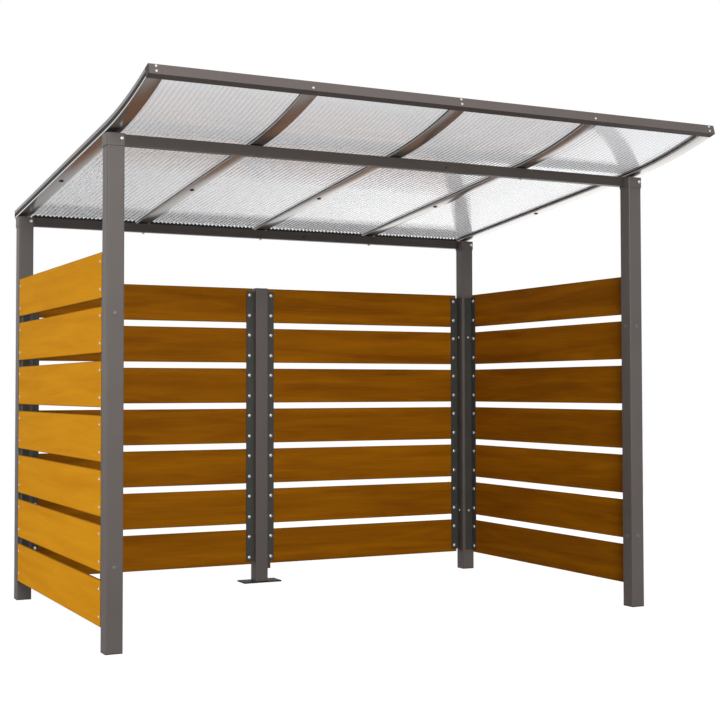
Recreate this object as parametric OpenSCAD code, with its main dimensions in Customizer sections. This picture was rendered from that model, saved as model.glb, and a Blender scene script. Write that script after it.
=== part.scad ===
// Bin shelter: an open-fronted steel frame with boarded sides and rear and a swept, clear roof.
// Units are millimetres and +Z is up. X runs along the front, and +Y runs from front to rear.
// The origin is on the ground, at the middle of the plan.

/* [Frame] */
// Width over the outer faces of the posts
frame_width = 2960; // [2200:10:3600]
// Depth over the outer faces of the corner posts
frame_depth = 1810; // [1450:10:2200]
// Top of the front beam above the ground
front_height = 2310; // [2240:5:2700]
// Top of the rear beam above the ground
rear_height = 2136; // [1920:4:2200]

/* [Posts] */
// Outside size of the square post tube
post_size = 80; // [70:2:100]
// Wall of the post tube
post_wall = 3; // [2:0.5:4]
// Outside corner radius of the post tube
post_radius = 6; // [4:0.5:8]
// Thickness of the cap that closes the foot of each corner post
foot_cap = 5; // [3:1:8]
// Height of the head fitted over the top of each corner post
head_height = 56; // [50:1:70]
// Wall of the head
head_wall = 3; // [2:0.5:4]
// Slip fit of the head round the post, on each side
head_slip = 0.4; // [0.2:0.1:0.8]
// Drop from the top of the beam to the top of the head
head_drop = 4; // [1:1:8]

/* [Rear centre post] */
// Width of the foot plate
plate_width = 240; // [220:5:300]
// Depth of the foot plate, front to rear
plate_depth = 120; // [110:2:140]
// Thickness of the foot plate
plate_thick = 8; // [5:1:12]
// Distance between the two anchor holes
anchor_spacing = 190; // [160:5:190]
// Diameter of an anchor hole
anchor_hole = 14; // [10:1:18]
// Thickness of the cap on the post
post_cap = 3; // [2:1:5]

/* [Beams] */
// Height of the front and rear beams
beam_height = 50; // [40:2:56]
// Depth of the beams, front to rear
beam_depth = 40; // [30:2:40]
// Wall of the beams and of the fascia
beam_wall = 2.5; // [2:0.5:3]

/* [Roof] */
// Distance from the centre rafter to the next one
rafter_pitch = 744; // [600:4:780]
// Width of a rafter
rafter_width = 70; // [60:2:80]
// Thickness of a rafter
rafter_thick = 9; // [8:1:16]
// Radius of the sweep in front of the front beam
sweep_radius = 3240; // [2600:20:5000]
// Reach of the rafters in front of the posts
front_reach = 548; // [400:4:660]
// Reach of the rafters behind the rear posts
rear_reach = 40; // [30:1:80]
// Thickness of the seal between rafter and sheet
seal_thick = 3; // [2:1:6]
// Thickness of the roof sheet
sheet_thick = 16; // [10:1:20]
// Joint left between two sheets
sheet_joint = 10; // [6:1:16]
// Gap between the front of the sheets and the fascia
sheet_gap = 3; // [1:1:6]
// Width of the strip that covers a joint
strip_width = 60; // [44:2:60]
// Thickness of the cover strip
strip_thick = 3; // [2:0.5:4]
// Height of the box trim on the outer edges of the roof
trim_height = 17; // [12:1:24]
// Wall of the box trim
trim_wall = 2; // [1.5:0.5:3]
// Width of the seal that closes the outer edge of the sheet
edge_seal = 4; // [3:1:8]
// Depth of the fascia, front to rear
fascia_depth = 40; // [30:2:50]
// Thickness of the caps on the ends of the fascia
end_cap = 3; // [2:1:4]

/* [Walls] */
// Number of boards in a panel
board_count = 7; // [4:1:7]
// Height of a board
board_height = 208; // [160:2:210]
// Gap between two boards
board_gap = 36; // [20:2:36]
// Thickness of a board
board_thick = 12; // [8:1:18]
// Height of the lowest board above the ground
ground_gap = 108; // [100:2:140]
// Gap between the end of a board and the post
board_end_gap = 10; // [8:1:20]

/* [Brackets] */
// Leg of the angle bracket
angle_leg = 50; // [40:1:50]
// Thickness of the angle bracket
angle_thick = 5; // [4:0.5:6]
// Distance from the edge of the panel to the end of a bracket
bracket_inset = 18; // [10:2:40]
// Width of the lug under the right bracket of the centre post
lug_width = 28; // [20:1:34]
// Length of the lug
lug_length = 48; // [40:2:60]

/* [Hidden] */
half_width = frame_width / 2;
board_pitch = board_height + board_gap;
panel_height = board_count * board_pitch - board_gap;
panel_top = ground_gap + panel_height;
bracket_height = panel_height - 2 * bracket_inset;
// inner face of the boards, measured in from the outer face of the posts
wall_inset = board_thick;
// the centre post stands back so that its brackets end flush with its rear face
centre_y = frame_depth - wall_inset - angle_thick + angle_leg - post_size / 2;
// the rafters bear on the rear top edges of the two beams
beam_y = post_size / 2;
seat_y = beam_y + beam_depth;
rear_beam_y = frame_depth - post_size / 2;
roof_fall = atan((front_height - rear_height) / (rear_beam_y - beam_y));
// the sweep starts over the middle of the front beam
bend_y = beam_y + beam_depth / 2;
bend_z = front_height + (seat_y - bend_y) * tan(roof_fall);
sweep_y = bend_y + sweep_radius * sin(roof_fall);
// slope of the rafters at their front end, and the angle swept on the way there
end_slope = asin((sweep_y + front_reach) / sweep_radius);
sweep_angle = end_slope - roof_fall;
straight_length = (frame_depth + rear_reach - bend_y) / cos(roof_fall);
seal_top = rafter_thick + seal_thick;
sheet_top = seal_top + sheet_thick;
strip_top = sheet_top + strip_thick;
fascia_height = sheet_top + trim_height;
rafter_end_y = -front_reach;
rafter_end_z = bend_z + sweep_radius * (cos(roof_fall) - cos(end_slope));
fascia_front_y = rafter_end_y - fascia_depth * cos(end_slope);
plate_rear_y = centre_y + plate_depth / 2;
trim_rear_y = frame_depth + rear_reach + fascia_height * sin(roof_fall);
// middle of the plan, front to rear, where the origin stands
plan_y = (max(plate_rear_y, trim_rear_y) + fascia_front_y) / 2;
edge_rafter_x = half_width - rafter_width / 2;
rafter_x = [-edge_rafter_x, -rafter_pitch, 0, rafter_pitch, edge_rafter_x];
round_fn = 48;
sweep_fn = 720;
over = 1;

paint = "#6B6461";
bracket_paint = "#3C403F";
timber = "#B4741C";
clear_sheet = [0.86, 0.87, 0.89, 0.55];
rubber = "#1E1E1E";
plastic = "#2B2A28";

// a square with rounded corners, centred
module rounded_square(size, radius) {
    square([size, size - 2 * radius], center = true);
    square([size - 2 * radius, size], center = true);
    for (x = [-1, 1]) {
        for (y = [-1, 1]) {
            translate([x * (size / 2 - radius), y * (size / 2 - radius)])
                circle(r = radius, $fn = round_fn);
        }
    }
}

// a length of square post tube standing on z = 0
module post_tube(height) {
    difference() {
        linear_extrude(height) rounded_square(post_size, post_radius);
        translate([0, 0, -over])
            linear_extrude(height + 2 * over)
                rounded_square(post_size - 2 * post_wall, post_radius - post_wall / 2);
    }
}

// moves a corner piece to its post: sx and sy are -1 or 1
module at_corner(sx, sy) {
    x = sx * (half_width - post_size / 2);
    y = sy < 0 ? post_size / 2 : frame_depth - post_size / 2;
    translate([x, y, 0]) children();
}

function head_top(sy) = (sy < 0 ? front_height : rear_height) - head_drop;

module corner_post(sx, sy) {
    color(paint)
        at_corner(sx, sy)
            translate([0, 0, foot_cap])
                post_tube(head_top(sy) - head_wall - foot_cap);
}

module corner_foot(sx, sy) {
    color(plastic)
        at_corner(sx, sy)
            linear_extrude(foot_cap)
                rounded_square(post_size, post_radius);
}

// a sleeve with a closed top, dropped over the post
module corner_head(sx, sy) {
    bore = post_size + 2 * head_slip;
    color(paint)
        at_corner(sx, sy)
            translate([0, 0, head_top(sy) - head_height])
                difference() {
                    linear_extrude(head_height)
                        rounded_square(bore + 2 * head_wall, post_radius + head_wall);
                    translate([0, 0, -over])
                        linear_extrude(head_height - head_wall + over)
                            rounded_square(bore, post_radius);
                }
}

module centre_post() {
    color(paint)
        translate([0, centre_y, plate_thick])
            post_tube(panel_top - post_cap - plate_thick);
}

module centre_post_cap() {
    color(plastic)
        translate([0, centre_y, panel_top - post_cap])
            linear_extrude(post_cap)
                rounded_square(post_size, post_radius);
}

module centre_foot_plate() {
    color(paint)
        translate([0, centre_y, 0])
            difference() {
                translate([-plate_width / 2, -plate_depth / 2, 0])
                    cube([plate_width, plate_depth, plate_thick]);
                for (x = [-1, 1]) {
                    translate([x * anchor_spacing / 2, 0, -over])
                        cylinder(h = plate_thick + 2 * over, d = anchor_hole, $fn = round_fn);
                }
            }
}

// boards stacked from the lowest up, each a box of the given plan size
module board_stack(size_x, size_y) {
    for (i = [0:board_count - 1]) {
        translate([0, 0, ground_gap + i * board_pitch])
            cube([size_x, size_y, board_height]);
    }
}

module side_boards(sx) {
    length = frame_depth - 2 * (post_size + board_end_gap);
    x = sx < 0 ? -half_width : half_width - board_thick;
    color(timber)
        translate([x, post_size + board_end_gap, 0])
            board_stack(board_thick, length);
}

module rear_boards(sx) {
    length = half_width - 1.5 * post_size - 2 * board_end_gap;
    x = sx < 0 ? -half_width + post_size + board_end_gap : post_size / 2 + board_end_gap;
    color(timber)
        translate([x, frame_depth - board_thick, 0])
            board_stack(length, board_thick);
}

// an L in plan with its heel at the origin and its legs along +X and +Y
module angle_bracket() {
    color(bracket_paint)
        translate([0, 0, ground_gap + bracket_inset])
            linear_extrude(bracket_height) {
                square([angle_leg, angle_thick]);
                square([angle_thick, angle_leg]);
            }
}

// bracket on the side wall: one leg on the post, the other behind the boards
module side_bracket(sx, sy) {
    y = sy < 0 ? post_size : frame_depth - post_size;
    translate([sx * (half_width - wall_inset), y, 0])
        mirror([sx < 0 ? 0 : 1, 0, 0])
            mirror([0, sy < 0 ? 0 : 1, 0])
                angle_bracket();
}

// bracket on the inner face of a rear corner post
module rear_corner_bracket(sx) {
    translate([sx * (half_width - post_size), frame_depth - wall_inset, 0])
        mirror([sx < 0 ? 0 : 1, 0, 0])
            mirror([0, 1, 0])
                angle_bracket();
}

// bracket on the side of the centre post, its post leg pointing to the rear
module rear_centre_bracket(sx) {
    translate([sx * post_size / 2, frame_depth - wall_inset - angle_thick, 0])
        mirror([sx < 0 ? 1 : 0, 0, 0])
            angle_bracket();
}

// the right centre bracket runs on below the boards as a narrow lug
module rear_centre_bracket_with_lug() {
    rear_centre_bracket(1);
    color(bracket_paint)
        translate([post_size / 2, frame_depth - wall_inset - angle_thick,
                   ground_gap + bracket_inset - lug_length])
            cube([lug_width, angle_thick, lug_length]);
}

// rectangular beam tube between two heads
module beam(y, top) {
    reach = half_width - post_size - head_wall - head_slip;
    color(paint)
        translate([-reach, y, top - beam_height])
            difference() {
                cube([2 * reach, beam_depth, beam_height]);
                translate([-over, beam_wall, beam_wall])
                    cube([2 * (reach + over), beam_depth - 2 * beam_wall,
                          beam_height - 2 * beam_wall]);
            }
}

// side view of a roof layer: low and high are measured up from the underside of the rafters,
// and front and rear add length at the two ends
module roof_profile(low, high, front, rear) {
    end = sweep_angle + front / sweep_radius * 180 / PI;
    reach = 1.1 * sweep_radius;
    // drawn with the start of the sweep at the origin and the straight part along +X
    translate([0, low])
        square([straight_length + rear, high - low]);
    translate([0, sweep_radius])
        intersection() {
            difference() {
                circle(r = sweep_radius - low, $fn = sweep_fn);
                circle(r = sweep_radius - high, $fn = sweep_fn);
            }
            polygon([[0, 0], [0, -reach], [-reach * sin(end), -reach * cos(end)]]);
        }
}

// a roof layer between two places along X
module roof_layer(x_from, x_to, low, high, front, rear) {
    translate([x_from, bend_y, bend_z])
        rotate([-roof_fall, 0, 0])
            rotate([90, 0, 90])
                linear_extrude(x_to - x_from)
                    roof_profile(low, high, front, rear);
}

// a flat bar, rolled to the sweep at its front
module rafter(x) {
    color(paint)
        roof_layer(x - rafter_width / 2, x + rafter_width / 2, 0, rafter_thick, 0, 0);
}

module rafter_seals() {
    color(rubber)
        for (x = rafter_x) {
            roof_layer(x - rafter_width / 2, x + rafter_width / 2,
                       rafter_thick, seal_top, 0, 0);
        }
}

// strips along the outer edges of the sheets, standing on the edge rafters' seals
module edge_seals() {
    color(rubber)
        for (x = [-half_width, half_width - edge_seal]) {
            roof_layer(x, x + edge_seal, seal_top, sheet_top, 0, 0);
        }
}

module roof_sheet(bay) {
    x_from = bay == 0 ? -half_width + edge_seal : rafter_x[bay] + sheet_joint / 2;
    x_to = bay == 3 ? half_width - edge_seal : rafter_x[bay + 1] - sheet_joint / 2;
    color(clear_sheet)
        roof_layer(x_from, x_to, seal_top, sheet_top, -sheet_gap, 0);
}

module cover_strips() {
    color(paint)
        for (x = [-rafter_pitch, 0, rafter_pitch]) {
            roof_layer(x - strip_width / 2, x + strip_width / 2,
                       sheet_top, strip_top, 0, 0);
        }
}

// box section over an outer edge of the roof, as high as the fascia
module edge_trims() {
    color(paint)
        for (x = [-half_width, half_width - strip_width]) {
            difference() {
                roof_layer(x, x + strip_width, sheet_top, fascia_height, 0, 0);
                roof_layer(x + trim_wall, x + strip_width - trim_wall,
                           sheet_top + trim_wall, fascia_height - trim_wall, over, over);
            }
        }
}

// moves to the front end of the rafters, with X forward and up the slope and Y square to it
module at_rafter_end() {
    translate([0, rafter_end_y, rafter_end_z])
        rotate([90, 0, 90])
            rotate(180 - end_slope)
                mirror([0, 1, 0])
                    children();
}

// rectangular tube along the front edge, square to the end of the sweep
module fascia() {
    reach = half_width - end_cap;
    color(paint)
        translate([-reach, 0, 0])
            difference() {
                at_rafter_end()
                    linear_extrude(2 * reach)
                        square([fascia_depth, fascia_height]);
                translate([-over, 0, 0])
                    at_rafter_end()
                        linear_extrude(2 * (reach + over))
                            translate([beam_wall, beam_wall])
                                square([fascia_depth - 2 * beam_wall,
                                        fascia_height - 2 * beam_wall]);
            }
}

module fascia_end_caps() {
    color(plastic)
        for (x = [-half_width, half_width - end_cap]) {
            translate([x, 0, 0])
                at_rafter_end()
                    linear_extrude(end_cap)
                        square([fascia_depth, fascia_height]);
        }
}

// sets the origin at the middle of the plan
module on_plan() {
    translate([0, -plan_y, 0]) children();
}

on_plan() corner_post(-1, -1);  // front_left_post
on_plan() corner_post(1, -1);  // front_right_post
on_plan() corner_post(-1, 1);  // rear_left_post
on_plan() corner_post(1, 1);  // rear_right_post
on_plan() corner_foot(-1, -1);  // front_left_foot
on_plan() corner_foot(1, -1);  // front_right_foot
on_plan() corner_foot(-1, 1);  // rear_left_foot
on_plan() corner_foot(1, 1);  // rear_right_foot
on_plan() corner_head(-1, -1);  // front_left_head
on_plan() corner_head(1, -1);  // front_right_head
on_plan() corner_head(-1, 1);  // rear_left_head
on_plan() corner_head(1, 1);  // rear_right_head
on_plan() centre_post();
on_plan() centre_post_cap();
on_plan() centre_foot_plate();
on_plan() side_boards(-1);  // left_wall_boards
on_plan() side_boards(1);  // right_wall_boards
on_plan() rear_boards(-1);  // rear_left_boards
on_plan() rear_boards(1);  // rear_right_boards
on_plan() side_bracket(-1, -1);  // left_wall_front_bracket
on_plan() side_bracket(-1, 1);  // left_wall_rear_bracket
on_plan() side_bracket(1, -1);  // right_wall_front_bracket
on_plan() side_bracket(1, 1);  // right_wall_rear_bracket
on_plan() rear_corner_bracket(-1);  // rear_left_corner_bracket
on_plan() rear_centre_bracket(-1);  // rear_left_centre_bracket
on_plan() rear_centre_bracket_with_lug();  // rear_right_centre_bracket
on_plan() rear_corner_bracket(1);  // rear_right_corner_bracket
on_plan() beam(beam_y, front_height);  // front_beam
on_plan() beam(rear_beam_y, rear_height);  // rear_beam
on_plan() rafter(rafter_x[0]);  // left_edge_rafter
on_plan() rafter(rafter_x[1]);  // left_rafter
on_plan() rafter(rafter_x[2]);  // centre_rafter
on_plan() rafter(rafter_x[3]);  // right_rafter
on_plan() rafter(rafter_x[4]);  // right_edge_rafter
on_plan() rafter_seals();
on_plan() edge_seals();
on_plan() roof_sheet(0);  // left_outer_sheet
on_plan() roof_sheet(1);  // left_inner_sheet
on_plan() roof_sheet(2);  // right_inner_sheet
on_plan() roof_sheet(3);  // right_outer_sheet
on_plan() cover_strips();
on_plan() edge_trims();
on_plan() fascia();
on_plan() fascia_end_caps();
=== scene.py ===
import math

import bpy
import numpy as np
from mathutils import Matrix, Vector


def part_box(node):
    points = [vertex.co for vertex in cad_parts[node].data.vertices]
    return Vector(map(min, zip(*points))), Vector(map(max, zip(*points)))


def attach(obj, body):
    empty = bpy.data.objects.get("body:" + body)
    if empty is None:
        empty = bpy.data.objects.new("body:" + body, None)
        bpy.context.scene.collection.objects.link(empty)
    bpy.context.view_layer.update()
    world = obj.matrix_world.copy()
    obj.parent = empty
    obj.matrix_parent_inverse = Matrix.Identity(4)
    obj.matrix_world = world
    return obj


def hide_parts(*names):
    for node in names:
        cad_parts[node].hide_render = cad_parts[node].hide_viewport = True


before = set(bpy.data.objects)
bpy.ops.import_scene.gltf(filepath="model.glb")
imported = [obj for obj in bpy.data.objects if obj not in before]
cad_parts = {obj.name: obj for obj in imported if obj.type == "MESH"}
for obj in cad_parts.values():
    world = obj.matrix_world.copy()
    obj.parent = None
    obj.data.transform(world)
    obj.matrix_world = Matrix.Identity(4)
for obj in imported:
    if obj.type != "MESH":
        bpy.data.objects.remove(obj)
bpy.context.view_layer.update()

# --- Posts ---------------------------------------------------------------------------------
# Five posts of 80 mm square steel tube, mill-rounded at the corners. They are galvanised and
# then powder coated in a satin brown-grey, which gives a soft sheen and a faint orange peel.
# The centre post's foot plate has a darker coat.


def linear(code):
    """sRGB hex to linear light: the sRGB curve undone on each channel."""
    c = np.array([int(code[i:i + 2], 16) for i in (1, 3, 5)]) / 255
    return (*np.where(c <= 0.04045, c / 12.92, ((c + 0.055) / 1.055) ** 2.4), 1.0)


def node(tree, kind, settings={}, **links):
    """Adds a node. Settings are its own options; links are its inputs, each a value or another
    node's output. An input is named with underscores for spaces, or by number as _0, _1."""
    n = tree.nodes.new(kind)
    for key, value in settings.items():
        setattr(n, key, value)
    for key, value in links.items():
        socket = n.inputs[int(key[1:])] if key[0] == "_" else n.inputs[key.replace("_", " ")]
        if isinstance(value, bpy.types.NodeSocket):
            tree.links.new(value, socket)
        else:
            socket.default_value = value
    return n


def new_material(name):
    """An empty node material, its tree and the Object coordinates that its pattern follows."""
    material = bpy.data.materials.new(name)
    material.use_nodes = True
    tree = material.node_tree
    tree.nodes.clear()
    return material, tree, node(tree, "ShaderNodeTexCoord").outputs["Object"]


def finish_material(tree, shader):
    node(tree, "ShaderNodeOutputMaterial", Surface=shader.outputs[0])


def coated_steel(name, dark, light, roughness, peel=0.05, specular=0.25, lacquer=0.0,
                 metal=0.0):
    """Powder coat: two near shades in soft clouds about 250 mm across, and a bump of small
    rounded grains. The real grain is about 1 mm and is drawn at 3 mm so that it can show."""
    material, tree, place = new_material(name)
    clouds = node(tree, "ShaderNodeTexNoise", Vector=place, Scale=4.0, Detail=3.0)
    shade = node(tree, "ShaderNodeMix", {"data_type": "RGBA"}, Factor=clouds.outputs["Fac"],
                 _6=linear(dark), _7=linear(light))
    grain = node(tree, "ShaderNodeTexNoise", Vector=place, Scale=330.0, Detail=1.0)
    bump = node(tree, "ShaderNodeBump", Strength=peel, Distance=0.0006,
                Height=grain.outputs["Fac"])
    finish_material(tree, node(tree, "ShaderNodeBsdfPrincipled",
                               Base_Color=shade.outputs[2], Roughness=roughness, IOR=1.5,
                               Metallic=metal, Specular_IOR_Level=specular,
                               Coat_Weight=lacquer, Coat_Roughness=0.16, Normal=bump.outputs[0]))
    return material


def dress(material, *names):
    """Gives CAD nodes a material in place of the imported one."""
    for name in names:
        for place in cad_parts[name].material_slots:
            place.material = material


post_coat = coated_steel("satin powder-coated steel tube", "#625B58", "#6C6562", 0.42)
dress(post_coat, "front_left_post", "front_right_post", "rear_left_post", "rear_right_post",
      "centre_post", "front_left_head", "front_right_head", "rear_left_head",
      "rear_right_head")
dress(coated_steel("satin powder-coated foot plate", "#34302D", "#3D3936", 0.5, specular=0.05),
      "centre_foot_plate")

# --- Foot caps, post cap and tube ends -------------------------------------------------------
# Push-in caps, injection moulded in black polyethylene. They are matt and a little uneven,
# with a fine spark-eroded grain from the mould.


def moulded_plastic(name, dark, light, roughness):
    """Matt plastic: two dark shades in clouds 30 mm across under a 0.5 mm mould grain."""
    material, tree, place = new_material(name)
    clouds = node(tree, "ShaderNodeTexNoise", Vector=place, Scale=30.0, Detail=2.0)
    shade = node(tree, "ShaderNodeMix", {"data_type": "RGBA"}, Factor=clouds.outputs["Fac"],
                 _6=linear(dark), _7=linear(light))
    grain = node(tree, "ShaderNodeTexNoise", Vector=place, Scale=2000.0, Detail=1.0)
    bump = node(tree, "ShaderNodeBump", Strength=0.1, Distance=0.0003,
                Height=grain.outputs["Fac"])
    finish_material(tree, node(tree, "ShaderNodeBsdfPrincipled",
                               Base_Color=shade.outputs[2], Roughness=roughness, IOR=1.5,
                               Normal=bump.outputs[0]))
    return material


cap_plastic = moulded_plastic("moulded polyethylene caps", "#23221F", "#2F2D2A", 0.6)
dress(cap_plastic, "front_left_foot", "front_right_foot", "rear_left_foot", "rear_right_foot",
      "centre_post_cap", "fascia_end_caps")

# --- Brackets --------------------------------------------------------------------------------
# Eight lengths of 50 x 50 x 5 mm steel angle, punched, galvanised and powder coated in a
# darker grey than the posts. One leg is bolted to a post and the other backs the boards.
bracket_coat = coated_steel("dark powder-coated steel angle", "#42423E", "#4A4A45", 0.45)
dress(bracket_coat, "left_wall_front_bracket", "left_wall_rear_bracket",
      "right_wall_front_bracket", "right_wall_rear_bracket", "rear_left_corner_bracket",
      "rear_left_centre_bracket", "rear_right_centre_bracket", "rear_right_corner_bracket")

# --- Wall boards -----------------------------------------------------------------------------
# Twenty-eight boards, 208 mm high and 12 mm thick, of oiled hardwood with eased edges. The
# grain runs along each board. Their outer faces are painted amber as painted light, and the
# inner ones browner as painted shade. All boards of a panel are one pitch apart, from the
# lowest one's foot up.
board_height, board_pitch, lowest_board, board_count = 0.208, 0.244, 0.108, 7


def add_piece(name, points, faces, material, smooth=False):
    """A mesh piece from whole arrays of points and faces, riding on the shelter."""
    mesh = bpy.data.meshes.new(name)
    mesh.from_pydata(points.reshape(-1, 3).tolist(), [],
                     faces.tolist() if isinstance(faces, np.ndarray) else faces)
    mesh.update()
    if smooth:
        mesh.polygons.foreach_set("use_smooth", np.ones(len(mesh.polygons), bool))
    piece = bpy.data.objects.new(name, mesh)
    bpy.context.scene.collection.objects.link(piece)
    mesh.materials.append(material)
    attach(piece, "root")
    return piece


def ring_faces(rings, around, outward=1):
    """Faces of a tube of rings with the given number of points round each, both ends closed.
    Outward is -1 where the rings run clockwise as seen from the far end."""
    r, a = np.meshgrid(np.arange(rings - 1), np.arange(around), indexing="ij")
    b = (a + 1) % around
    side = np.stack([r * around + a, r * around + b, (r + 1) * around + b, (r + 1) * around + a],
                    -1).reshape(-1, 4)
    faces = side.tolist() + [list(range(around))[::-1],
                             list(range((rings - 1) * around, rings * around))]
    return [f[::outward] for f in faces]


def eased_outline(width, height, radius, inset, steps=4):
    """A rectangle with quarter-round corners, drawn anticlockwise and shrunk by the inset."""
    t = np.linspace(0, math.pi / 2, steps)
    corner = np.stack([np.cos(t), np.sin(t)], -1) * radius
    turn = np.array([[[1, 0], [0, 1]], [[0, -1], [1, 0]], [[-1, 0], [0, -1]], [[0, 1], [-1, 0]]])
    centre = np.array([[1, 1], [-1, 1], [-1, -1], [1, -1]]) * [width / 2 - radius,
                                                             height / 2 - radius]
    points = (corner @ turn.transpose(0, 2, 1) + centre[:, None]).reshape(-1, 2)
    return points * [1 - 2 * inset / width, 1 - 2 * inset / height]


def boards(name, node_name, along):
    """Seven bars: an eased outline carried along the board, drawn in at both ends over 2 mm."""
    low, high = (np.array(v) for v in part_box(node_name))
    across = 1 - along
    thick, ease, corner_radius = high[across] - low[across], 0.002, 0.003
    stations = np.array([0, 0.3, 1.0, -1.0, -0.3, 0]) * ease
    stations[3:] += high[along] - low[along]
    insets = np.array([1.0, 0.25, 0, 0, 0.25, 1.0]) * ease
    rings = np.array([eased_outline(thick, board_height, corner_radius, inset)
                      for inset in insets])
    bar = np.zeros((*rings.shape[:2], 3))
    bar[..., along] = low[along] + stations[:, None]
    bar[..., across] = (low[across] + high[across]) / 2 + rings[..., 0]
    bar[..., 2] = rings[..., 1]
    levels = low[2] + board_height / 2 + board_pitch * np.arange(board_count)
    points = bar[None] + np.array([0, 0, 1]) * levels[:, None, None, None]
    one = ring_faces(rings.shape[0], rings.shape[1], -1 if along else 1)
    each = rings.shape[0] * rings.shape[1]
    faces = [[v + each * i for v in f] for i in range(board_count) for f in one]
    piece = add_piece(name, points, faces, board_wood)
    # Marks each board's outer face, which the wood paints lighter as painted light; the inner
    # face is painted darker as painted shade.
    side = np.sign(low[across] + high[across]) * (points[..., across]
                                                  - (low[across] + high[across]) / 2) / thick
    painted_light_side = piece.data.attributes.new("painted_light_side", "FLOAT", "POINT")
    painted_light_side.data.foreach_set("value", np.clip(side.ravel() + 0.5, 0, 1).astype(np.float32))
    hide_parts(node_name)


def oiled_wood():
    """Grain is noise drawn out 25 times along the board: streaks about 8 mm high, over broad
    bands about 60 mm high. Each board has a shade of its own, by its place in the stack. The
    eased edges are painted darker over their outer 6 mm, a painted shade between the boards,
    and the outer faces are painted lighter than the inner ones, as painted light and shade."""
    material, tree, place = new_material("oiled hardwood board")
    axes = node(tree, "ShaderNodeSeparateXYZ", Vector=place)
    length = node(tree, "ShaderNodeMath", {"operation": "ADD"}, _0=axes.outputs[0],
                  _1=axes.outputs[1])
    count = node(tree, "ShaderNodeMath", {"operation": "MULTIPLY_ADD"}, _0=axes.outputs[2],
                 _1=1 / board_pitch, _2=-lowest_board / board_pitch)
    board = node(tree, "ShaderNodeMath", {"operation": "FLOOR"}, _0=count.outputs[0])
    shift = node(tree, "ShaderNodeMath", {"operation": "MULTIPLY"}, _0=board.outputs[0], _1=7.3)
    grain_place = node(tree, "ShaderNodeCombineXYZ", X=length.outputs[0], Y=shift.outputs[0],
                       Z=axes.outputs[2])
    fine_place = node(tree, "ShaderNodeMapping", Vector=grain_place.outputs[0],
                      Scale=(5.0, 1.0, 125.0))
    fine = node(tree, "ShaderNodeTexNoise", Vector=fine_place.outputs[0], Scale=1.0, Detail=3.0,
                Roughness=0.6)
    broad_place = node(tree, "ShaderNodeMapping", Vector=grain_place.outputs[0],
                       Scale=(1.2, 1.0, 16.0))
    broad = node(tree, "ShaderNodeTexNoise", Vector=broad_place.outputs[0], Scale=1.0,
                 Detail=2.0, Distortion=0.6)
    both = node(tree, "ShaderNodeMix", {"data_type": "FLOAT"}, Factor=0.35,
                _2=broad.outputs["Fac"], _3=fine.outputs["Fac"])
    own = node(tree, "ShaderNodeTexWhiteNoise", {"noise_dimensions": "1D"}, W=shift.outputs[0])
    tone = node(tree, "ShaderNodeMath", {"operation": "MULTIPLY_ADD"}, _0=own.outputs[0],
                _1=0.10, _2=both.outputs[0])
    spread = node(tree, "ShaderNodeMapRange", Value=tone.outputs[0], From_Min=0.36,
                  From_Max=0.74)
    # One wood in two copies: painted shade on the inner faces, painted light on the outer faces.
    inner = node(tree, "ShaderNodeMix", {"data_type": "RGBA"}, Factor=spread.outputs[0],
                 _6=linear("#844A00"), _7=linear("#AE6B00"))
    outer = node(tree, "ShaderNodeMix", {"data_type": "RGBA"}, Factor=spread.outputs[0],
                 _6=linear("#ED9C05"), _7=linear("#FFB012"))
    side = node(tree, "ShaderNodeAttribute", {"attribute_name": "painted_light_side"})
    colour = node(tree, "ShaderNodeMix", {"data_type": "RGBA"}, Factor=side.outputs["Fac"],
                  _6=inner.outputs[2], _7=outer.outputs[2])
    # Painted shade: the board edges are darkened towards #4A2A00 over their outer 6 mm.
    height = node(tree, "ShaderNodeMath", {"operation": "FRACT"}, _0=count.outputs[0])
    edge = node(tree, "ShaderNodeMath", {"operation": "PINGPONG"}, _0=height.outputs[0],
                _1=board_height / 2 / board_pitch)
    edge_shade = node(tree, "ShaderNodeMapRange", Value=edge.outputs[0],
               From_Max=0.006 / board_pitch, To_Min=0.35)
    colour = node(tree, "ShaderNodeMix", {"data_type": "RGBA"}, Factor=edge_shade.outputs[0],
                  _6=linear("#4A2A00"), _7=colour.outputs[2])
    bump = node(tree, "ShaderNodeBump", Strength=0.15, Distance=0.0005,
                Height=fine.outputs["Fac"])
    finish_material(tree, node(tree, "ShaderNodeBsdfPrincipled", Base_Color=colour.outputs[2],
                               Roughness=0.7, IOR=1.5, Specular_IOR_Level=0.08,
                               Normal=bump.outputs[0]))
    return material


board_wood = oiled_wood()
boards("left_wall_board_set", "left_wall_boards", 1)
boards("right_wall_board_set", "right_wall_boards", 1)
boards("rear_left_board_set", "rear_left_boards", 0)
boards("rear_right_board_set", "rear_right_boards", 0)

# --- Board bolts -----------------------------------------------------------------------------
# Zinc-plated cup-head bolts, two to each end of each board. The wide domes are inside, on the
# bracket; outside is the low, round end of the sleeve nut. Turned and bright, slightly dull.


def plated_steel():
    """Zinc plate: bright metal with a slightly uneven haze in patches 10 mm across."""
    material, tree, place = new_material("zinc-plated steel fixings")
    haze = node(tree, "ShaderNodeTexNoise", Vector=place, Scale=100.0, Detail=2.0)
    rough = node(tree, "ShaderNodeMapRange", Value=haze.outputs["Fac"], To_Min=0.30,
                 To_Max=0.45)
    shade = node(tree, "ShaderNodeMix", {"data_type": "RGBA"}, Factor=haze.outputs["Fac"],
                 _6=linear("#C9C4BE"), _7=linear("#DDD9D4"))
    finish_material(tree, node(tree, "ShaderNodeBsdfPrincipled", Base_Color=shade.outputs[2],
                               Metallic=0.7, Roughness=rough.outputs[0]))
    return material


def dome(radius, height, rim=0.0008, steps=4):
    """Side view of a low dome: a short upright rim, then a quarter ellipse to the top."""
    t = np.linspace(0, math.pi / 2, steps + 1)[:-1]
    arc = np.stack([radius * np.cos(t), rim + (height - rim) * np.sin(t)], -1)
    return np.vstack([[radius, -0.0005], arc, [radius * 0.02, height]])


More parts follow.
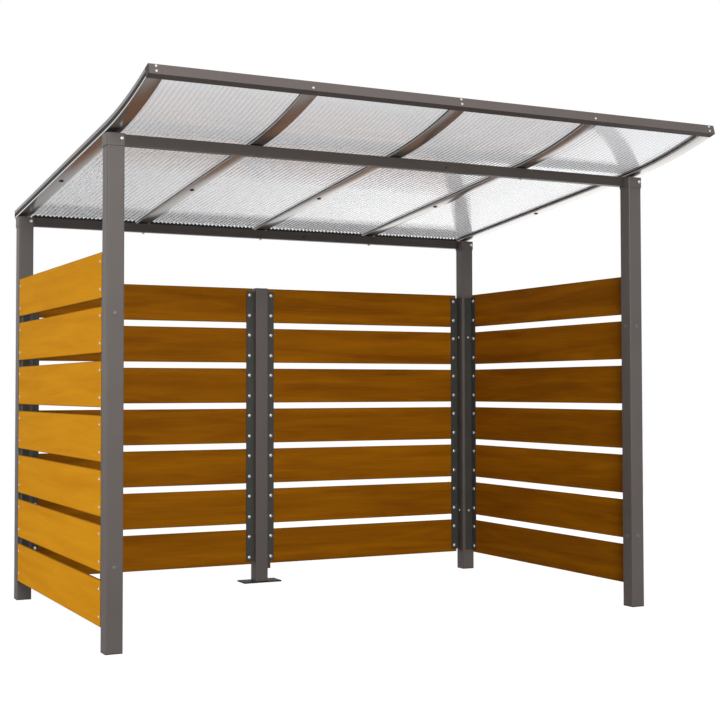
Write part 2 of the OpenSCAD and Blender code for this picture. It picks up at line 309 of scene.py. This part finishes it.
def turned(name, side_view, centres, axis, material, sides=16):
    """Copies of a turned shape: each point of the side view goes round the axis, and the
    whole shape is set at each centre with its top along the axis."""
    axis = np.array(axis, float) / np.linalg.norm(axis)
    u = np.cross(axis, [0, 0, 1] if abs(axis[2]) < 0.9 else [0, 1, 0])
    u /= np.linalg.norm(u)
    v = np.cross(axis, u)
    t = np.arange(sides) * 2 * math.pi / sides
    around = np.cos(t)[:, None] * u + np.sin(t)[:, None] * v
    one = side_view[:, 0, None, None] * around + side_view[:, 1, None, None] * axis
    centres = np.array(centres, float).reshape(-1, 3)
    points = centres[:, None, None, :] + one[None]
    shape = ring_faces(len(side_view), sides)
    each = len(side_view) * sides
    faces = [[w + each * i for w in f] for i in range(len(centres)) for f in shape]
    return add_piece(name, points, faces, material, smooth=True)


zinc = plated_steel()
front_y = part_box("front_left_post")[0].y
rear_y, half_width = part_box("rear_right_post")[1].y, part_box("rear_right_post")[1].x
bolt_spread, bolt_setback = 0.062, 0.110
bolt_levels = np.add.outer(lowest_board + board_height / 2 + board_pitch * np.arange(board_count),
                           [-bolt_spread, bolt_spread]).ravel()
inside_dome, outside_dome = dome(0.0115, 0.0065), dome(0.0075, 0.003)
bracket_face = 0.012 + 0.005  # a board and a bracket's leg


def grid_of(xs, ys, zs):
    return np.stack(np.meshgrid(xs, ys, zs, indexing="ij"), -1).reshape(-1, 3)


side_lines = [front_y + bolt_setback, rear_y - bolt_setback]
rear_lines = [half_width - bolt_setback, 0.070]
for name, sign in (("left", -1), ("right", 1)):
    turned(name + "_wall_inside_bolts", inside_dome,
           grid_of([sign * (half_width - bracket_face)], side_lines, bolt_levels),
           (-sign, 0, 0), zinc)
    turned(name + "_wall_outside_bolts", outside_dome,
           grid_of([sign * half_width], side_lines, bolt_levels), (sign, 0, 0), zinc)
    turned("rear_" + name + "_inside_bolts", inside_dome,
           grid_of(sign * np.array(rear_lines), [rear_y - bracket_face], bolt_levels),
           (0, -1, 0), zinc)
    turned("rear_" + name + "_outside_bolts", outside_dome,
           grid_of(sign * np.array(rear_lines), [rear_y], bolt_levels), (0, 1, 0), zinc)

# --- Bracket fixings and hole plugs ----------------------------------------------------------
# The post leg of each bracket at a corner post has two pan-head fixings. The holes they need
# on the far side of the post are closed by low moulded plugs, a shade lighter than the coat.
post_size = 0.080
leg_face = post_size + 0.005  # a post and a bracket's leg
fixing_levels = [0.377, 1.502]
fixing_dome, plug_dome = dome(0.008, 0.0045), dome(0.011, 0.0022)
plug_coat = moulded_plastic("moulded hole plugs", "#66615F", "#706B69", 0.4)
for name, sign in (("left", -1), ("right", 1)):
    post_x = sign * (half_width - post_size / 2)
    turned(name + "_front_leg_fixings", fixing_dome,
           grid_of([post_x], [front_y + leg_face], fixing_levels), (0, 1, 0), zinc)
    turned(name + "_rear_leg_fixings", fixing_dome,
           grid_of([post_x], [rear_y - leg_face], fixing_levels), (0, -1, 0), zinc)
    turned(name + "_corner_leg_fixings", fixing_dome,
           grid_of([sign * (half_width - leg_face)], [rear_y - post_size / 2],
                   fixing_levels), (-sign, 0, 0), zinc)
    turned(name + "_front_face_plugs", plug_dome,
           grid_of([post_x], [front_y], fixing_levels), (0, -1, 0), plug_coat)
    turned(name + "_inner_face_plugs", plug_dome,
           grid_of([sign * (half_width - post_size)], [front_y + post_size / 2],
                   fixing_levels), (-sign, 0, 0), plug_coat)
    turned(name + "_rear_face_plugs", plug_dome,
           grid_of([post_x], [rear_y], fixing_levels), (0, 1, 0), plug_coat)

# --- Post heads ------------------------------------------------------------------------------
# A folded and welded sleeve over the top of each corner post, coated like the posts. One
# bolt through its front face, a little to the right of the middle, clamps it to the post.
head_bolt_right, head_bolt_down = 0.025, 0.023
for name in ("front_left", "front_right", "rear_left", "rear_right"):
    low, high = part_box(name + "_head")
    turned(name + "_head_bolt", dome(0.0095, 0.006),
           [[(low.x + high.x) / 2 + head_bolt_right, low.y, high.z - head_bolt_down]],
           (0, -1, 0), zinc)

# --- Beams -----------------------------------------------------------------------------------
# Two 50 x 40 mm steel tubes between the heads, coated darker than the posts. Each has a dark
# set screw on its front face, and the ends of the rafter bolts show underneath.
beam_coat = coated_steel("satin powder-coated beam tube", "#4B4440", "#544C48", 0.36,
                         specular=0.2)
dress(beam_coat, "front_beam", "rear_beam")
rafter_names = ["left_edge_rafter", "left_rafter", "centre_rafter", "right_rafter",
                "right_edge_rafter"]
rafter_x = [(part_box(n)[0].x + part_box(n)[1].x) / 2 for n in rafter_names]
dark_steel = coated_steel("black-oxide screws", "#262422", "#302E2B", 0.4)
set_screw_x, set_screw_down = 0.283, 0.028
for name in ("front_beam", "rear_beam"):
    low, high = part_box(name)
    turned(name + "_set_screw", dome(0.007, 0.002),
           [[set_screw_x, low.y, high.z - set_screw_down]], (0, -1, 0), dark_steel)
    turned(name + "_bolt_ends", dome(0.007, 0.010, rim=0.006),
           grid_of(rafter_x[1:4], [(low.y + high.y) / 2], [low.z]), (0, 0, -1), zinc)

# --- Rafters ---------------------------------------------------------------------------------
# Five 70 x 9 mm flat steel bars, rolled up at the front to a radius of 3.24 m. The coat is a
# lacquered metallic, so at a low angle the undersides mirror the boards and pale ground.
front_height, rear_height, beam_spacing = 2.310, 2.136, 1.730
roof_fall = math.atan((front_height - rear_height) / beam_spacing)
beam_depth, bend_back = 0.040, 0.060  # the sweep starts above the front beam's rear edge
bend_z = front_height + beam_depth / 2 * math.tan(roof_fall)
sweep_radius, front_reach, rear_reach = 3.240, 0.548, 0.040
rafter_thick, seal_top, sheet_top, strip_top = 0.009, 0.012, 0.028, 0.031


def roof_line(height, stations):
    """Points on a line the given height above the rafters' underside, measured square to it.
    A station is a distance in metres along the underside from the start of the sweep:
    straight and falling to the rear when positive, on the swept arc when negative."""
    s = np.asarray(stations, float)
    start = np.array([front_y + bend_back, bend_z])
    angle = roof_fall + np.clip(-s, 0, None) / sweep_radius
    centre = start + sweep_radius * np.array([math.sin(roof_fall), math.cos(roof_fall)])
    on_arc = centre - (sweep_radius - height) * np.stack([np.sin(angle), np.cos(angle)], -1)
    run = np.clip(s, 0, None)[:, None] * np.array([math.cos(roof_fall), -math.sin(roof_fall)])
    return on_arc + run


straight = (rear_y + rear_reach - front_y - bend_back) / math.cos(roof_fall)
end_slope = math.asin((bend_back + sweep_radius * math.sin(roof_fall) + front_reach)
                      / sweep_radius)
swept = (end_slope - roof_fall) * sweep_radius
rafter_coat = coated_steel("gloss metallic-coated rafter bar", "#ADA8A4", "#B7B2AE", 0.28,
                           peel=0.02, specular=0.5, lacquer=1.0, metal=1.0)


def rafter(name, node_name):
    """An eased outline carried along the roof line, closed at both ends."""
    low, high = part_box(node_name)
    outline = eased_outline(high.x - low.x, rafter_thick, 0.0015, 0.0)
    stations = np.concatenate([np.linspace(-swept, 0, 25), [straight * 0.5, straight]])
    middle = roof_line(rafter_thick / 2, stations)
    lower = roof_line(0.0, stations)
    up = (middle - lower) / (rafter_thick / 2)
    points = np.zeros((len(stations), len(outline), 3))
    points[..., 0] = (low.x + high.x) / 2 + outline[:, 0]
    points[..., 1:] = middle[:, None] + up[:, None] * outline[:, 1, None]
    piece = add_piece(name, points, ring_faces(len(stations), len(outline), -1), rafter_coat,
                      smooth=True)
    piece.data.set_sharp_from_angle(angle=math.radians(35))
    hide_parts(node_name)


for name in rafter_names:
    rafter(name + "_bar", name)
bolt_back = 0.947  # behind the posts' front faces
bolt_y, bolt_z = roof_line(0.0, [(bolt_back - bend_back) / math.cos(roof_fall)])[0]
turned("rafter_underside_bolts", dome(0.012, 0.006),
       grid_of(rafter_x, [bolt_y], [bolt_z]), (0, -math.sin(roof_fall), -math.cos(roof_fall)),
       dark_steel)

# --- Seals -----------------------------------------------------------------------------------
# Extruded black rubber strips between rafters and sheets, dull and slightly bloomed.
seal_rubber = moulded_plastic("extruded rubber seal", "#080808", "#100F0F", 0.75)
dress(seal_rubber, "rafter_seals", "edge_seals")
web_pitch = 0.024
comb_depth, comb_base, comb_slack = 0.008, 0.009, 0.0004


def comb(name, start, end):
    """A comb strip on the rear beam that closes the eaves under the sheets: a bar whose top
    steps between its base and just under the sheet, with a leaning tooth at every web."""
    low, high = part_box("rear_beam")
    middle = low.y + 0.005
    station = (middle - front_y - bend_back) / math.cos(roof_fall)
    tooth = roof_line(seal_top, [station])[0, 1] - high.z - comb_slack
    teeth = int((end - start) / web_pitch)
    across = start + np.add.outer(np.arange(teeth), [0.0, 0.25, 0.55, 0.95]).ravel() * web_pitch
    tall = np.tile([comb_base, comb_base, tooth, tooth], teeth)
    square = np.array([[0.5, 1.0], [-0.5, 1.0], [-0.5, 0.0], [0.5, 0.0]])
    points = np.empty((len(across), 4, 3))
    points[..., 0] = across[:, None]
    points[..., 1] = middle + square[:, 0] * comb_depth
    points[..., 2] = high.z + square[:, 1] * tall[:, None]
    add_piece(name, points, ring_faces(len(across), 4), seal_rubber)


rafter_clear = 0.070 / 2 + 0.001
comb_edges = [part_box("rear_left_head")[1].x,
              *[x + d for x in rafter_x[1:4] for d in (-rafter_clear, rafter_clear)],
              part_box("rear_right_head")[0].x]
for number in range(4):
    comb("eaves_comb_" + str(number + 1), comb_edges[2 * number], comb_edges[2 * number + 1])

# --- Roof sheets -----------------------------------------------------------------------------
# Four sheets of 16 mm multiwall polycarbonate, extruded with a web every 24 mm from front to
# rear. Each skin is drawn in slightly between webs, so it shines in fine parallel bands.


def multiwall():
    """Frosted clear plastic: pale where light comes through, with a greyer line at each web.
    The web lines are a cosine of the distance across the roof, sharpened to 4 mm wide."""
    material, tree, place = new_material("extruded multiwall polycarbonate")
    axes = node(tree, "ShaderNodeSeparateXYZ", Vector=place)
    turn = node(tree, "ShaderNodeMath", {"operation": "MULTIPLY"}, _0=axes.outputs[0],
                _1=2 * math.pi / web_pitch)
    wave = node(tree, "ShaderNodeMath", {"operation": "COSINE"}, _0=turn.outputs[0])
    line = node(tree, "ShaderNodeMapRange", Value=wave.outputs[0], From_Min=0.2, From_Max=1.0)
    haze = node(tree, "ShaderNodeTexNoise", Vector=place, Scale=3.0, Detail=2.0)
    clear = node(tree, "ShaderNodeMix", {"data_type": "RGBA"}, Factor=haze.outputs["Fac"],
                 _6=linear("#ECEDEF"), _7=linear("#F4F4F6"))
    colour = node(tree, "ShaderNodeMix", {"data_type": "RGBA"}, Factor=line.outputs[0],
                  _6=clear.outputs[2], _7=linear("#D8D9DC"))
    finish_material(tree, node(tree, "ShaderNodeBsdfPrincipled", Base_Color=colour.outputs[2],
                               Roughness=0.04, IOR=1.58, Transmission_Weight=0.92))
    return material


sheet_plastic = multiwall()
scallop_depth, sheet_gap = 0.0005, 0.003


def roof_sheet(name, node_name):
    """A closed skin round the sheet: across the roof each face is a row of shallow cosine
    scallops between webs, in eight steps each, and along it both faces follow the roof line."""
    low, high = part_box(node_name)
    across = np.linspace(low.x, high.x, int(round((high.x - low.x) / (web_pitch / 8))) + 1)
    scallop = scallop_depth / 2 * (1 - np.cos(2 * math.pi * across / web_pitch))
    stations = np.concatenate([np.linspace(-swept + sheet_gap, 0, 21),
                               [straight * 0.5, straight]])
    lower, upper = roof_line(seal_top, stations), roof_line(sheet_top, stations)
    up = (upper - lower) / (sheet_top - seal_top)
    under = lower[:, None] + up[:, None] * scallop[:, None]
    over = upper[:, None] - up[:, None] * scallop[:, None]
    outline = np.concatenate([under, over[:, ::-1]], 1)
    points = np.empty((*outline.shape[:2], 3))
    points[..., 0] = np.concatenate([across, across[::-1]])
    points[..., 1:] = outline
    rings, around = outline.shape[:2]
    faces = ring_faces(rings, around, -1)[:-2]
    half = around // 2
    a = np.arange(half - 1)
    cap = np.stack([a, a + 1, around - 2 - a, around - 1 - a], -1)
    faces += cap.tolist() + (cap + (rings - 1) * around)[:, ::-1].tolist()
    piece = add_piece(name, points, faces, sheet_plastic, smooth=True)
    piece.data.set_sharp_from_angle(angle=math.radians(40))
    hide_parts(node_name)


for name in ("left_outer_sheet", "left_inner_sheet", "right_inner_sheet", "right_outer_sheet"):
    roof_sheet(name + "_skin", name)

# --- Cover strips and fascia -----------------------------------------------------------------
# Flat strips screwed down over the sheet joints, box trims over the outer edges, and a box
# fascia bolted across the ends of the rafters, all powder coated.
trim_coat = coated_steel("satin powder-coated roof trims", "#8D8A88", "#979492", 0.3)
dress(trim_coat, "cover_strips", "edge_trims")
fascia_coat = coated_steel("satin powder-coated fascia tube", "#6B6360", "#756D6A", 0.38,
                           specular=0.04)
dress(fascia_coat, "fascia")
fascia_depth, fascia_height = 0.040, 0.045
main_columns, inner_columns = [-1.446, 0.001, 1.449], [-0.743, 0.746]
front_foot = roof_line(0.0, [-swept])[0] + fascia_depth * np.array([-math.cos(end_slope),
                                                                    math.sin(end_slope)])
rise = np.array([math.sin(end_slope), math.cos(end_slope)])
for name, columns, down in (("upper", main_columns, 0.008),
                            ("lower", main_columns + inner_columns, 0.031)):
    y, z = front_foot + rise * (fascia_height - down)
    turned("fascia_" + name + "_bolts", dome(0.006, 0.0032),
           grid_of(columns, [y], [z]), (0, -math.cos(end_slope), math.sin(end_slope)), zinc)
strip_rows = roof_line(strip_top, [0.15, 0.75, 1.35])
turned("cover_strip_screws", dome(0.006, 0.003),
       np.concatenate([np.insert(strip_rows, 0, x, axis=1) for x in rafter_x[1:4]]),
       (0, math.sin(roof_fall), math.cos(roof_fall)), zinc)

# --- Room ------------------------------------------------------------------------------------
# A white floor that runs out to a white surround, one broad soft lamp in front and to the
# left, a fill on the far left, one behind on the right, and even light from all round.


def seen_rays(tree, path):
    """1 for camera, glossy and transmission rays, 0 for the rest."""
    seen = path.outputs["Is Camera Ray"]
    for ray in ("Is Glossy Ray", "Is Transmission Ray"):
        seen = node(tree, "ShaderNodeMath", {"operation": "MAXIMUM"}, _0=seen,
                    _1=path.outputs[ray]).outputs[0]
    return seen


def stage_floor():
    """Pale floor, white to the eye except for the object's soft shadow. What the glossy parts
    mirror of it is a pool of light, brighter to the right."""
    material, tree, place = new_material("white studio floor")
    path = node(tree, "ShaderNodeLightPath")
    shade = node(tree, "ShaderNodeMix", {"data_type": "RGBA"},
                 Factor=path.outputs["Is Camera Ray"], _6=(0.22, 0.22, 0.22, 1),
                 _7=(0.6, 0.6, 0.6, 1))
    paint = node(tree, "ShaderNodeBsdfDiffuse", Color=shade.outputs[2])
    axes = node(tree, "ShaderNodeSeparateXYZ", Vector=place)
    pool = node(tree, "ShaderNodeMapRange", Value=axes.outputs[0], From_Min=0.5, From_Max=4.5,
                To_Min=0.55, To_Max=1.65)
    level = node(tree, "ShaderNodeMix", {"data_type": "FLOAT"},
                 Factor=path.outputs["Is Camera Ray"], _2=pool.outputs[0], _3=1.2)
    bright = node(tree, "ShaderNodeEmission", Color=(1, 1, 1, 1), Strength=level.outputs[0])
    share = node(tree, "ShaderNodeMath", {"operation": "MULTIPLY"}, _0=seen_rays(tree, path),
                 _1=0.8)
    mixed = node(tree, "ShaderNodeMixShader", Fac=share.outputs[0], _1=paint.outputs[0],
                 _2=bright.outputs[0])
    finish_material(tree, mixed)
    corners = np.array([[-60, -60, 0], [60, -60, 0], [60, 60, 0], [-60, 60, 0]], float)
    mesh = bpy.data.meshes.new("studio_floor")
    mesh.from_pydata(corners.tolist(), [], [[0, 1, 2, 3]])
    mesh.materials.append(material)
    floor = bpy.data.objects.new("studio_floor", mesh)
    bpy.context.scene.collection.objects.link(floor)


stage_floor()
world = bpy.data.worlds.new("studio")
world.use_nodes = True
sky = world.node_tree
sky.nodes.clear()
level = node(sky, "ShaderNodeMapRange", Value=seen_rays(sky, node(sky, "ShaderNodeLightPath")),
             To_Min=0.34, To_Max=1.0)
glow = node(sky, "ShaderNodeBackground", Color=(1, 1, 1, 1), Strength=level.outputs[0])
node(sky, "ShaderNodeOutputWorld", Surface=glow.outputs[0])
bpy.context.scene.world = world


def lamp(name, place, target, size, watts):
    """A square soft lamp at a place, turned to face a target. It is returned."""
    light = bpy.data.lights.new(name, "AREA")
    light.size, light.energy = size, watts
    lamp_object = bpy.data.objects.new(name, light)
    bpy.context.scene.collection.objects.link(lamp_object)
    lamp_object.location = place
    aim = Vector(target) - Vector(place)
    lamp_object.rotation_euler = aim.to_track_quat("-Z", "Y").to_euler()
    return lamp_object


lamp("front_softbox", (-2.0, -7.5, 3.4), (0, 0, 1.1), 3.0, 380)
lamp("left_softbox", (-7.5, 0.0, 0.95), (0, 0.2, 0.95), 1.8, 118)
back_softbox = lamp("back_softbox", (5.0, 6.5, 1.4), (0, 0, 1.1), 2.4, 240)
back_softbox.visible_glossy = back_softbox.visible_transmission = False

# The camera stands in front and to the left, at chest height, looking very slightly up.
eye = Vector((-3.1567, -6.4194, 1.1585))
yaw, pitch, roll = 0.46029, 0.03306, -0.00147
ahead = Vector((math.sin(yaw) * math.cos(pitch), math.cos(yaw) * math.cos(pitch),
                math.sin(pitch)))
level_right = Vector((math.cos(yaw), -math.sin(yaw), 0))
level_up = level_right.cross(ahead)
right = level_right * math.cos(roll) + level_up * math.sin(roll)
up = right.cross(ahead)
camera = bpy.data.cameras.new("camera")
camera.sensor_width, camera.lens = 36.0, 67.16
camera.shift_x, camera.shift_y = 0.0165, -0.0196
camera_object = bpy.data.objects.new("camera", camera)
bpy.context.scene.collection.objects.link(camera_object)
turn = Matrix((right, up, -ahead)).transposed()
camera_object.location = eye
camera_object.rotation_euler = turn.to_euler()
bpy.context.scene.camera = camera_object
bpy.context.scene.view_settings.view_transform = "Standard"
